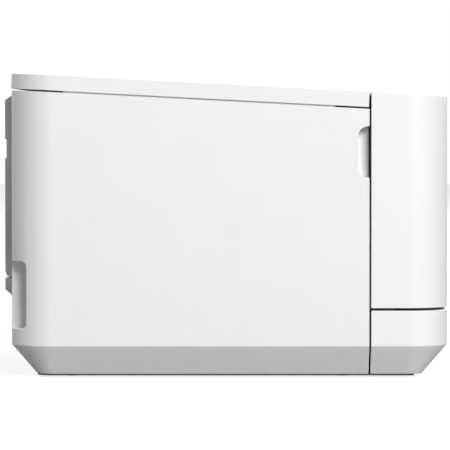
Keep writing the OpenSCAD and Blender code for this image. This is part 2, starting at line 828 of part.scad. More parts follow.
module button(i) on_top() translate([button_x[i], key_y, 0]) {
    translate([0, 0, panel_low - gap - button_lip_t]) {
        cylinder(button_lip_t, button_r + button_lip, button_r + button_lip);
        cylinder(-panel_low + gap + button_lip_t - panel_drop / 4, button_r, button_r);
    }
}

module ok_button() color("lightgray") button(0);
module stop_button() color("lightgray") button(1);
module power_button() color("lightgray") button(2);

module arrow_rocker() color("lightgray") on_top() {
    translate([0, 0, -rocker_t]) linear_extrude(rocker_t - panel_drop / 4) rocker_outline(0);
    rod([key_y, rocker_z], rocker_pin_r, rocker_x - rocker_size[0] / 2 - rocker_pin_l,
        rocker_x + rocker_size[0] / 2 + rocker_pin_l);
}

module front_skirt() {
    both_sides() {
        along_y(front_y + corner_r, seam_y - seam / 2) translate([flat_x, 0]) skirt(c_top);
        translate([flat_x, front_y + corner_r, 0]) rotate([0, 0, -90])
            rotate_extrude(angle = 90) skirt(c_top);
    }
    along_x(-flat_x, flat_x) translate([front_y + corner_r, 0]) mirror([1, 0]) skirt(c_top);
}

module front_plan(inset) intersection() {
    plan(inset);
    translate([-half_w, front_y]) square([width, front_d - seam / 2]);
}

module cassette_front() color("whitesmoke") difference() {
    union() {
        front_skirt();
        translate([0, 0, base_z]) linear_extrude(floor_t) front_plan(chamfer_w);
        translate([0, 0, c_top - wall]) linear_extrude(wall) difference() {
            front_plan(0);
            translate([-mouth_half, mouth_y]) square([2 * mouth_half, depth]);
        }
        both_sides() along_x(web_x, web_x + web_t) polygon([[front_y + wall / 2, chamfer_in],
            [front_y + chamfer_w + slant_t / 2, pan_top - floor_t / 2], [tray_y0, pan_top - floor_t / 2],
            [tray_y0, tray_top], [front_y + wall / 2, tray_top]]);
        block([-pull_half - pull_t, front_y + wall / 2, pull_z[0] - pull_t],
            [pull_half + pull_t, front_y + pull_d + pull_t, pull_z[1] + pull_t]);
    }
    block([-pull_half, front_y - over, pull_z[0]], [pull_half, front_y + pull_d, pull_z[1]]);
}

module tray_outline(inset, rise) polygon([[tray_y0 + inset, tray_z0 + inset],
    [tray_y1 - tray_cut[0] - inset / 2, tray_z0 + inset],
    [tray_y1 - inset, tray_z0 + tray_cut[1] + inset / 2],
    [tray_y1 - inset, tray_top + rise], [tray_y0 + inset, tray_top + rise]]);

module cassette_tray() color("dimgray") difference() {
    union() {
        difference() {
            along_x(-tray_half, tray_half) tray_outline(0, 0);
            along_x(-tray_half + tray_t, tray_half - tray_t) tray_outline(tray_t, over);
        }
        along_x(-pad_half, pad_half) polygon([pad_back - pad_along, pad_back + pad_along,
            [(pad_back + pad_along)[0], tray_floor - tray_t / 2],
            [(pad_back - pad_along)[0], tray_floor - tray_t / 2]]);
        both_sides() {
            block([lift_half + gap, lift_y1 - lift_post[1] / 2, tray_floor - tray_t / 2],
                [lift_half + gap + lift_post[0], lift_y1 + lift_post[1] / 2, sheet_z]);
            for (x = rib_x) block([x, paper_rib_y, tray_floor - tray_t / 2],
                [x + paper_rib_t, tray_y1 - tray_cut[0], sheet_z]);
        }
        translate([0, rack_y, tray_floor - tray_t / 2])
            cylinder(tray_t / 2 + gap + rack_h, guide_stud_r, guide_stud_r);
    }
    rod([lift_y1, lift_pin_z], lift_pin_r + fit, -lift_half - lift_pin_l - gap,
        lift_half + lift_pin_l + gap);
}

module lift_plate() color("silver") {
    block([-lift_half, lead_y, lift_pin_z - lift_t / 2], [lift_half, lift_y1, lift_pin_z + lift_t / 2]);
    rod([lift_y1, lift_pin_z], lift_pin_r, -lift_half - lift_pin_l, lift_half + lift_pin_l);
}

module separation_pad() color("brown") along_x(-pad_half, pad_half) translate(pickup_c) rotate(225)
    translate([pickup_r + pad_gap, -pad_size[0] / 2]) square([pad_size[1], pad_size[0]]);

module rack_outline() {
    translate([-rack_end, rack_r + root_share * rack_size]) square([paper_w / 2 + rack_end + gap, rack_back]);
    for (i = [-2 : rack_count - 3]) translate([i * rack_pitch + rack_pitch / 2, rack_r])
        polygon([[-tooth_foot_share * rack_pitch, (root_share + tip_share) * rack_size],
            [-tooth_tip_share * rack_pitch, -tip_share * rack_size],
            [tooth_tip_share * rack_pitch, -tip_share * rack_size],
            [tooth_foot_share * rack_pitch, (root_share + tip_share) * rack_size]]);
}

module side_guide() {
    block([paper_w / 2 + gap, guide_y[0], tray_floor + gap],
        [paper_w / 2 + gap + guide_t, guide_y[1], guide_top]);
    translate([0, rack_y, tray_floor + gap]) linear_extrude(rack_h) rack_outline();
}

module right_guide() color("steelblue") side_guide();
module left_guide() color("steelblue") translate([0, 2 * rack_y, 0]) rotate([0, 0, 180]) side_guide();

module gear_outline(m, teeth, phase) polygon([for (i = [0 : teeth - 1])
    for (p = [[-tooth_foot_share, -root_share], [-tooth_tip_share, tip_share], [tooth_tip_share, tip_share],
        [tooth_foot_share, -root_share]])
    let (turn = phase + (i + p[0]) * 360 / teeth) (m * teeth / 2 + p[1] * m) * [cos(turn), sin(turn)]]);

module guide_pinion() color("steelblue")
    translate([0, rack_y, tray_floor + gap]) linear_extrude(rack_h) difference() {
        gear_outline(rack_size, rack_teeth, 90);
        circle(guide_stud_r + fit);
    }

module rear_guide() color("steelblue") along_x(-rear_guide_half, rear_guide_half) translate([tail_y + gap, 0])
    polygon([[-rear_guide_foot, tray_floor + gap], [-rear_guide_cut[0], tray_floor + gap],
        [rear_guide_t, tray_floor + gap + rear_guide_cut[1]], [rear_guide_t, rear_guide_z],
        [0, rear_guide_z], [0, tray_floor + gap + rear_guide_heel[1]],
        [-rear_guide_cut[0], tray_floor + gap + rear_guide_heel[0]],
        [-rear_guide_foot, tray_floor + gap + guide_foot_t]]);

module frame_outline() {
    polygon([[frame_y0, pan_top], [frame_y1, pan_top], [frame_y1, tower_z], [tower_y, tower_z],
        [tower_foot_y, frame_shoulder[1]], frame_shoulder, [frame_nose_y, frame_chin_z],
        [frame_nose_y, frame_nose_z], [frame_y0, frame_nose_z]]);
    translate([door_pivot[0], door_pivot[1] - arm_r])
        square([frame_nose_y + over - door_pivot[0], 2 * arm_r]);
    translate(door_pivot) circle(arm_r);
    for (z = flange_z)
        translate([frame_y1 - over, z[0]]) square([back_y - wall - frame_y1 + over, z[1] - z[0]]);
}

module frame_plate() {
    along_x(frame_x, frame_x + frame_t) difference() {
        frame_outline();
        translate(door_pivot) circle(pin_r + fit);
        for (c = [transfer_c, pressure_c, pinch_c, feed_c, pickup_c, exit_c, fuser_c])
            translate(c) circle(hole_r);
        translate(exit_pinch_c) circle(exit_pinch_shaft_r + fit);
        children();
    }
    for (z = flange_z) difference() {
        block([frame_x - flange_w, back_y - wall - frame_t, z[0]],
            [frame_x + frame_t / 2, back_y - wall, z[1]]);
        translate([frame_x - screw_in, back_y, (z[0] + z[1]) / 2]) rotate([90, 0, 0])
            cylinder(screw_l + over, screw_r + fit, screw_r + fit);
    }
    block([frame_x - cart_tab[0], cart_tab[1], cart_z0 - frame_t],
        [frame_x + frame_t / 2, cart_tab[2], cart_z0]);
}

module right_frame() color("lightsteelblue") {
    frame_plate() {
        translate(drum_c) circle(hub_r + fit);
        translate(pinion_c) circle(motor_shaft_r + fit);
    }
    for (c = [main_c, feed_idler_c, low_idler_c, high_idler_c])
        rod(c, stud_r, frame_x + frame_t / 2, gear_x + gear_t);
}

module left_frame() color("lightsteelblue") mirror([1, 0, 0]) {
    frame_plate() translate(drum_c) circle(hole_r);
    for (c = concat(main_posts, power_posts)) rod(c, post_r, frame_x + frame_t / 2, board_x);
}

module scanner_plate() color("lightsteelblue") difference() {
    block([-span_x, deck_y[0], deck_z], [span_x, deck_y[1], scan_z]);
    block([-mirror_half, beam_y[0], deck_z - over], [mirror_half, mirror_c[0] + beam_y[0], scan_z + over]);
}

module path_guide() color("dimgray") difference() {
    block([-span_x, path_y[0], path_top - path_t], [span_x, path_y[1], path_top]);
    block([-path_slot[1], -path_slot[0], path_top - path_t - over],
        [path_slot[1], path_slot[0], path_top + over]);
}

// Gear of the drive train on centre c, with a bore when it turns on a stud
module wheel(c, teeth, phase, bore) difference() {
    along_x(gear_x, gear_x + gear_t) translate(c) gear_outline(tooth_size, teeth, phase);
    if (bore > 0) rod(c, bore, gear_x - over, gear_x + gear_t + over);
    if (tooth_size * teeth * web_share > 3 * hub_r) along_x(gear_x + gear_t - web_sink, gear_x + gear_t + over)
        translate(c) difference() {
            circle(tooth_size * teeth / 2 * web_share);
            circle(hub_r);
        }
}

module geared_shaft(c, teeth, phase) {
    rod(c, shaft_r, -shaft_end, gear_x + gear_t / 2);
    wheel(c, teeth, phase, 0);
}

module idle_roller(c, r, half, shaft) {
    rod(c, r, -half, half);
    rod(c, shaft, -shaft_end, shaft_end);
}

module pickup_roller() color("dimgray") {
    difference() {
        rod(pickup_c, pickup_r, -pickup_half, pickup_half);
        block([-pickup_half - over, pickup_c[0] - pickup_r, pickup_c[1] + pickup_flat],
            [pickup_half + over, pickup_c[0] + pickup_r, pickup_c[1] + pickup_r + over]);
    }
    geared_shaft(pickup_c, pickup_teeth, pickup_phase);
}

module registration_roller() color("dimgray") {
    rod(feed_c, feed_r, -feed_half, feed_half);
    geared_shaft(feed_c, feed_teeth, feed_phase);
}

module pinch_roller() color("silver") idle_roller(pinch_c, pinch_r, feed_half, shaft_r);
module transfer_roller() color("dimgray") idle_roller(transfer_c, transfer_r, feed_half, shaft_r);
module pressure_roller() color("brown") idle_roller(pressure_c, pressure_r, fuser_half, shaft_r);

module exit_roller() color("dimgray") {
    for (x = exit_rolls) rod(exit_c, exit_r, x - exit_roll_w / 2, x + exit_roll_w / 2);
    geared_shaft(exit_c, exit_teeth, exit_phase);
}

module exit_pinch_roller() color("silver") {
    for (x = exit_rolls) rod(exit_pinch_c, exit_pinch_r, x - exit_roll_w / 2, x + exit_roll_w / 2);
    rod(exit_pinch_c, exit_pinch_shaft_r, -shaft_end, shaft_end);
}

module fuser_roller() color("firebrick") {
    rod(fuser_c, fuser_r, -fuser_half, fuser_half);
    geared_shaft(fuser_c, fuser_teeth, fuser_phase);
}

module cart_bay() along_x(-cart_half + cart_wall, cart_half - cart_wall) {
    translate(drum_c) circle(drum_bay_r);
    translate(dev_c) circle(dev_bay_r);
    translate(hopper_c) circle(hopper_r);
    polygon([hopper_c - [0, dev_r], dev_c - [0, dev_r / 2], dev_c + [0, dev_r / 2], hopper_c + [0, dev_r]]);
}

module cartridge_shell() color("slategray") difference() {
    union() {
        along_x(-cart_half, cart_half) polygon([[cart_y0, cart_z0], [cart_belly[0], cart_z0],
            [cart_belly[1], cart_low], [cart_belly[2], cart_low], [cart_y1, cart_belly[3]],
            [cart_y1, cart_z1], [cart_y0, cart_z1]]);
        block([-cart_lip[1], cart_y0 - cart_lip[0], cart_lip[3]],
            [cart_lip[1], cart_y0 + over, cart_lip[3] + cart_lip[2]]);
    }
    cart_bay();
    for (c = [drum_c, dev_c, hopper_c]) rod(c, hole_r, -cart_half - over, cart_half + over);
    block([-beam_half, beam_y[0], drum_c[1]], [beam_half, beam_y[1], cart_z1 + over]);
}

module photo_drum() color("seagreen") {
    rod(drum_c, drum_r, -drum_half, drum_half);
    rod(drum_c, shaft_r, -shaft_end, gear_x + gear_t / 2);
}

module drum_gear() color("gainsboro") {
    wheel(drum_c, drum_teeth, drum_phase, shaft_r + fit);
    along_x(drum_tip, gear_x + over) translate(drum_c) difference() {
        circle(hub_r);
        circle(shaft_r + fit);
    }
}

module developer_roller() color("black") {
    rod(dev_c, dev_r, -drum_half, drum_half);
    rod(dev_c, shaft_r, -cart_half, cart_half);
}

module toner_agitator() color("gainsboro") {
    rod(hopper_c, shaft_r, -cart_half, cart_half);
    block([-drum_half, hopper_c[0] - paddle_t / 2, hopper_c[1]],
        [drum_half, hopper_c[0] + paddle_t / 2, hopper_c[1] + paddle_r]);
}

module scanner_housing() color("dimgray") {
    difference() {
        block([-scan_half, scan_y[0], scan_z], [scan_half, scan_y[1], scan_z + scan_h]);
        block([-scan_half + scan_wall, scan_y[0] + scan_wall, scan_floor],
            [scan_half - scan_wall, scan_y[1] - scan_wall, scan_z + scan_h + over]);
        block([-mirror_half, beam_y[0], scan_z - over],
            [mirror_half, mirror_c[0] + beam_y[0], scan_floor + over]);
    }
    translate([0, spin_y, scan_floor - scan_wall / 2])
        cylinder(scan_wall / 2 + spin_stud_h, spin_stud_r, spin_stud_r);
    both_sides() along_x(mirror_post[0], mirror_post[1]) polygon([mirror_point(1, 1), mirror_point(-1, 1),
        [mirror_post_y, mirror_point(-1, 1)[1]], [mirror_post_y, scan_floor - scan_wall / 2],
        [mirror_point(1, 1)[0], scan_floor - scan_wall / 2]]);
}

function mirror_point(end, back) = mirror_c
    + end * mirror_size[0] / 2 * [cos(45), -sin(45)] + back * mirror_size[1] * [cos(45), sin(45)];

module fold_mirror() color("lightcyan") along_x(-mirror_half, mirror_half)
    polygon([mirror_point(1, 0), mirror_point(-1, 0), mirror_point(-1, 1), mirror_point(1, 1)]);

module polygon_mirror() color("silver") translate([0, spin_y, scan_floor + gap]) difference() {
    union() {
        cylinder(rotor_h, rotor_r, rotor_r);
        linear_extrude(rotor_h + facet_h) polygon([for (i = [0 : 5]) facet_r * [cos(60 * i), sin(60 * i)]]);
    }
    translate([0, 0, -over]) cylinder(rotor_h + facet_h + 2 * over, spin_stud_r + fit, spin_stud_r + fit);
}

module scan_lens() color("lightcyan") translate([0, 0, scan_floor]) linear_extrude(lens_h) intersection() {
    translate([-lens_half, lens_y[0]]) square([2 * lens_half, lens_y[1] - lens_y[0]]);
    translate([0, lens_y[1] - lens_arc]) circle(lens_arc, $fn = 360);
}

module fuser_frame() color("sandybrown") difference() {
    block([-span_x, fuser_c[0] + fuse_y[0], fuse_z[0]], [span_x, fuser_c[0] + fuse_y[1], fuse_z[1]]);
    block([-span_x + fuse_wall_t, fuser_c[0] + fuse_y[0] + tie_t, fuse_z[0] + tie_t],
        [span_x - fuse_wall_t, fuser_c[0] + fuse_y[1] - tie_t, fuse_z[1] - tie_t]);
    block([-slot_half, fuser_c[0] + fuse_y[0] - over, fuse_slot[0]],
        [slot_half, fuser_c[0] + fuse_y[1] + over, fuse_slot[1]]);
    for (c = [fuser_c, pressure_c]) rod(c, hole_r, -span_x - over, span_x + over);
}

module main_motor() color("gray") {
    rod(pinion_c, motor_r, frame_x - motor_l, frame_x - motor_flange[1] / 2);
    rod(pinion_c, motor_flange[0], frame_x - motor_flange[1], frame_x);
}

module motor_pinion() color("gold") {
    wheel(pinion_c, pinion_teeth, pinion_phase, 0);
    rod(pinion_c, motor_shaft_r, frame_x, gear_x + gear_t);
}

module main_gear() color("gainsboro") wheel(main_c, main_teeth, main_phase, stud_r + fit);
module feed_idler() color("gainsboro")
    wheel(feed_idler_c, feed_idler_teeth, feed_idler_phase, stud_r + fit);
module low_exit_idler() color("gainsboro")
    wheel(low_idler_c, exit_idler_teeth, low_idler_phase, stud_r + fit);
module high_exit_idler() color("gainsboro")
    wheel(high_idler_c, exit_idler_teeth, high_idler_phase, stud_r + fit);

// Circuit board standing on the posts of the left frame, with its parts on the outer face
module board(ys, zs, chips) {
    block([-board_x - board_t, ys[0], zs[0]], [-board_x, ys[1], zs[1]]);
    for (c = chips)
        block([-board_x - board_t - c[4], c[0], c[1]], [-board_x - board_t / 2, c[0] + c[2], c[1] + c[3]]);
}

module main_board() color("seagreen") board(main_board_y, main_board_z, main_chips);
module power_board() color("olivedrab") board(power_board_y, power_board_z, power_chips);

// Two sockets on the main board, in a panel that fills the notch of the rear cover
module data_sockets() color("silver") difference() {
    union() {
        for (z = [net_z, usb_z]) block([-socket_x[1], socket_y0, z[0]], [-socket_x[0], back_y, z[1]]);
        block([-socket_x[1], back_y - socket_t, net_z[0] - socket_rim],
            [-rear_half - fine_seam, back_y, usb_z[1] + socket_rim]);
    }
    for (z = [net_z, usb_z]) block([-socket_x[1] + socket_t, back_y - socket_d, z[0] + socket_t],
        [-socket_x[0] - socket_t, back_y + over, z[1] - socket_t]);
}

module inlet_block(size, y0, y1) block([-size[0] / 2, y0, -size[1] / 2], [size[0] / 2, y1, size[1] / 2]);

module power_inlet() color("black") translate([inlet_x, back_y, inlet_z]) {
    difference() {
        union() {
            inlet_block(inlet_size, -inlet_d, 0);
            inlet_block(inlet_flange, -wall - inlet_flange[2], -wall);
        }
        inlet_block(inlet_bay, -inlet_bay[2], over);
    }
    for (i = [-1 : 1]) translate([i * blade_step, 0, i * i * blade_rise])
        inlet_block([blade_size[0], blade_size[1]], -inlet_bay[2] - over, -inlet_bay[2] + blade_size[2]);
}

// Fan frame with the stator that carries the rotor's pin
module fan_frame() color("black") {
    along_x(inner_x - fan_d, inner_x) translate(fan_c) difference() {
        translate([-fan_size / 2, -fan_size / 2]) square(fan_size);
        circle(fan_r);
    }
    along_x(inner_x - fan_d, inner_x - fan_d + strut[1]) translate(fan_c) {
        circle(fan_hub_r);
        for (a = [0 : 60 : 120]) rotate(a)
            translate([-fan_r - over, -strut[0] / 2]) square([2 * (fan_r + over), strut[0]]);
    }
    rod(fan_c, fan_pin_r, inner_x - fan_d, inner_x - fan_tip - over);
}

module fan_blades() color("dimgray") difference() {
    union() {
        rod(fan_c, fan_hub_r, inner_x - fan_d + strut[0], inner_x - fan_tip);
        translate([inner_x - fan_d / 2, fan_c[0], fan_c[1]]) for (i = [0 : fan_count - 1])
            rotate([360 * i / fan_count, 0, 0]) translate([0, 0, fan_hub_r - over]) rotate([0, 0, fan_tilt])
            block([-fan_blade[0] / 2, -fan_blade[1] / 2, 0],
                [fan_blade[0] / 2, fan_blade[1] / 2, fan_r - fan_tip - fan_hub_r]);
    }
    rod(fan_c, fan_pin_r + fit, inner_x - fan_d, inner_x - fan_tip - over + gap);
}

base_pan();
left_cover();
right_cover();
top_cover();
paper_stop();
rear_cover();
rear_door();
feet();
rear_screws();
front_door();
door_liner();
hinge_pins();
control_panel();
display_window();
power_button();
stop_button();
ok_button();
arrow_rocker();
cassette_front();
cassette_tray();
lift_plate();
separation_pad();
left_guide();
right_guide();
guide_pinion();
rear_guide();
left_frame();
right_frame();
scanner_plate();
path_guide();
pickup_roller();
registration_roller();
pinch_roller();
transfer_roller();
exit_roller();
exit_pinch_roller();
cartridge_shell();
photo_drum();
drum_gear();
developer_roller();
toner_agitator();
scanner_housing();
polygon_mirror();
scan_lens();
fold_mirror();
fuser_frame();
fuser_roller();
pressure_roller();
main_motor();
motor_pinion();
main_gear();
feed_idler();
low_exit_idler();
high_exit_idler();
main_board();
power_board();
fan_frame();
fan_blades();
power_inlet();
data_sockets();
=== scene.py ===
import bpy, bmesh, json, math
from mathutils import Vector, Matrix


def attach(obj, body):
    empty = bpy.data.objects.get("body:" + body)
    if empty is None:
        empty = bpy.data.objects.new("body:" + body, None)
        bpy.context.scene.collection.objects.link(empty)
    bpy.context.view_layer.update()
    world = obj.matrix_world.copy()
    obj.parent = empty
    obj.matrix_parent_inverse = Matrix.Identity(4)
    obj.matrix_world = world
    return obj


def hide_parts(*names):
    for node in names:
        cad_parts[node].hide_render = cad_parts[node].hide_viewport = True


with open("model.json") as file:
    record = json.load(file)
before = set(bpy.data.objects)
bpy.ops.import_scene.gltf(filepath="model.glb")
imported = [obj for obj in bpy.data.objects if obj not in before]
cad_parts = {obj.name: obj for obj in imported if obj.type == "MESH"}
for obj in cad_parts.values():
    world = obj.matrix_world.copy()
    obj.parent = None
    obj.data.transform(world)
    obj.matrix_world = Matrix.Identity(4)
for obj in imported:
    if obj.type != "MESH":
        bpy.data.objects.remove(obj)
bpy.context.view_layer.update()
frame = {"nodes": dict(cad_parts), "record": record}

nodes = frame["nodes"]
bodyOf = {n: b for b, ns in frame["record"]["behaviour"]["bodies"].items() for n in ns}
print("frame loaded:", len(nodes), "nodes")


# the paint box: every finish on the printer
def srgbToLinear(hexText):
    parts = [int(hexText[i:i + 2], 16) / 255 for i in (0, 2, 4)]
    return [c / 12.92 if c <= 0.04045 else ((c + 0.055) / 1.055) ** 2.4 for c in parts] + [1]


def addNode(tree, kind, settings=None, links=None):
    node = tree.nodes.new(kind)
    for key, value in (settings or {}).items():
        if key in node.inputs:
            node.inputs[key].default_value = value
        else:
            setattr(node, key, value)
    for key, source in (links or {}).items():
        tree.links.new(source, node.inputs[key])
    return node


# worn: the tone of the edges, rubbed wear mixed with painted edge light and shade
finishes = {
    # injection-moulded ABS, satin: a soft broad sheen with a fine spark texture
    "mouldedWhiteAbs": dict(light="F1F2F6", dark="EDEEF2", rough=0.42, roughSpan=0.05,
                            grainMm=1.1, grainDepth=0.006, ior=1.53, worn="DCDDE1"),
    # the same white ABS painted a touch brighter for the door side of the casing: painted light on the front, where the
    # lamps reach more
    "mouldedFrontAbs": dict(light="F4F5F8", dark="F0F1F5", rough=0.42, roughSpan=0.05,
                            grainMm=1.1, grainDepth=0.006, ior=1.53, worn="DFE0E4"),
    # pale grey ABS of the rear: coarser spark texture, so it stays dull
    "sparkedGreyAbs": dict(light="E2E3E6", dark="DCDDE0", rough=0.55, roughSpan=0.06,
                           grainMm=1.3, grainDepth=0.02, ior=1.53, worn="C8C9CD"),
    # black-brown HIPS of the inner mouldings: matt, with a faint flow mottle
    "mouldedDarkHips": dict(light="2E2F32", dark="27282B", rough=0.55, roughSpan=0.08,
                            grainMm=1.6, grainDepth=0.02, ior=1.55, worn="5A5C60"),
    # lighter grey inner ABS of the door's liner
    "linerGreyAbs": dict(light="85878B", dark="7B7D81", rough=0.5, roughSpan=0.06,
                         grainMm=1.3, grainDepth=0.015, ior=1.53, worn="9C9EA2"),
    # keys in light grey polycarbonate: smoother than the shell, so their tops catch a highlight
    "keyPolycarbonate": dict(light="C9CCD1", dark="C3C6CB", rough=0.32, roughSpan=0.04,
                             grainMm=1.0, grainDepth=0.002, ior=1.585, worn="AEB1B6"),
    # acrylic display window: near-black and polished
    "displayAcrylic": dict(light="0B0D0F", dark="08090B", rough=0.06, roughSpan=0.02,
                           grainMm=6.0, grainDepth=0.001, ior=1.49),
    # the screen under it: a dull green-grey glow of an unlit LCD
    "unlitLcd": dict(light="39443F", dark="323C38", rough=0.2, roughSpan=0.03,
                     grainMm=2.0, grainDepth=0.001, ior=1.5),
    # blue POM for what a user's hands may move in the cassette
    "bluePom": dict(light="2C5F93", dark="285787", rough=0.36, roughSpan=0.05,
                    grainMm=1.2, grainDepth=0.004, ior=1.48, worn="5C8ABA"),
    # unfilled POM gears: waxy, warm white
    "naturalPom": dict(light="E6E2D6", dark="DED9CB", rough=0.38, roughSpan=0.06,
                       grainMm=1.5, grainDepth=0.004, ior=1.48, worn="C9C4B4"),
    # glass-filled PET of the fuser: amber-brown with a cloudy surface
    "glassFilledPet": dict(light="7B5A3A", dark="6C4E31", rough=0.5, roughSpan=0.1,
                           grainMm=2.2, grainDepth=0.02, ior=1.57, worn="96765A"),
    # EPDM feed rubber, ground on a centreless grinder: dead matt
    "groundEpdm": dict(light="36373A", dark="2C2D30", rough=0.85, roughSpan=0.06,
                       grainMm=0.9, grainDepth=0.03, ior=1.52),
    # black nitrile feet
    "nitrileRubber": dict(light="1F2022", dark="1A1B1C", rough=0.75, roughSpan=0.06,
                          grainMm=1.0, grainDepth=0.02, ior=1.52),
    # orange-brown silicone of the pressure roller
    "siliconeSleeve": dict(light="8E3F2B", dark="843824", rough=0.5, roughSpan=0.05,
                           grainMm=1.5, grainDepth=0.006, ior=1.43),
    # PFA-coated fuser sleeve: brown and slippery
    "pfaSleeve": dict(light="5B3324", dark="532D1F", rough=0.22, roughSpan=0.04,
                      grainMm=4.0, grainDepth=0.002, ior=1.35),
    # organic photoconductor: blue-green varnish over aluminium
    "photoconductor": dict(light="1E6E66", dark="1B655E", rough=0.12, roughSpan=0.03,
                           grainMm=8.0, grainDepth=0.001, ior=1.6),
    # green solder mask: glassy epoxy with copper tracks under it
    "solderMask": dict(light="1F6B3A", dark="175930", rough=0.28, roughSpan=0.08,
                       grainMm=1.8, grainDepth=0.01, ior=1.55),
    # moulded epoxy of the chips and black plastic of the parts beside them
    "chipEpoxy": dict(light="232426", dark="1D1E20", rough=0.6, roughSpan=0.08,
                      grainMm=0.9, grainDepth=0.01, ior=1.55),
    # ink of the key symbols: thin, slightly glossy print
    "greyKeyInk": dict(light="4A4D52", dark="45484D", rough=0.4, roughSpan=0.03,
                       grainMm=0.8, grainDepth=0.001, ior=1.5),
    # unlit light pipes: green and amber tinted polycarbonate
    "greenLightPipe": dict(light="2F7A45", dark="2B7040", rough=0.15, roughSpan=0.02,
                           grainMm=2.0, grainDepth=0.001, ior=1.585),
    "amberLightPipe": dict(light="B5742A", dark="A96B26", rough=0.15, roughSpan=0.02,
                           grainMm=2.0, grainDepth=0.001, ior=1.585),
    # cork friction pad on the lift plate: coarse brown grain
    "pressedCork": dict(light="A9825A", dark="8C6843", rough=0.9, roughSpan=0.05,
                        grainMm=1.4, grainDepth=0.08, ior=1.45),
    # shrink sleeve of the capacitors
    "blueSleevePvc": dict(light="1D3A6B", dark="18325E", rough=0.3, roughSpan=0.05,
                          grainMm=2.5, grainDepth=0.002, ior=1.53),
    # yellow tape round the transformer
    "transformerTape": dict(light="C9A227", dark="BC951F", rough=0.35, roughSpan=0.06,
                            grainMm=3.0, grainDepth=0.006, ior=1.5),
}

metals = {
    # zinc-plated steel sheet: grey with a rolled grain along its length
    "zincPlatedSteel": dict(light="B9BCC0", dark="A7AAAE", rough=0.34, roughSpan=0.1,
                            grainMm=(14, 0.8, 0.8)),
    # turned steel shafts and rollers: fine rings round the axis
    "turnedSteel": dict(light="C6C8CB", dark="B4B6BA", rough=0.24, roughSpan=0.08, grainMm=(0.7, 20, 20)),
    # silvered glass and polished aluminium facets of the scanner
    "opticalMirror": dict(light="E8EAEC", dark="E2E4E6", rough=0.03, roughSpan=0.01, grainMm=(9, 9, 9)),
    # tinned copper of contacts and screw recesses
    "tinnedContact": dict(light="CFCBBE", dark="BDB8A8", rough=0.3, roughSpan=0.08, grainMm=(2, 2, 2)),
}

# what all the finishes share: pattern sizes in mm, noise levels and the reach of the edge tone, which is rubbed wear
# with painted edge light and shade
surface = {"mottleMm": 45, "patchMm": 9, "edgeMm": 1.1, "noiseLow": 0.3, "noiseHigh": 0.7, "patchLow": 0.42,
           "patchHigh": 0.62, "bendFrom": 0.995, "bendTo": 0.86, "polish": 0.14, "bumpStrength": 0.5}

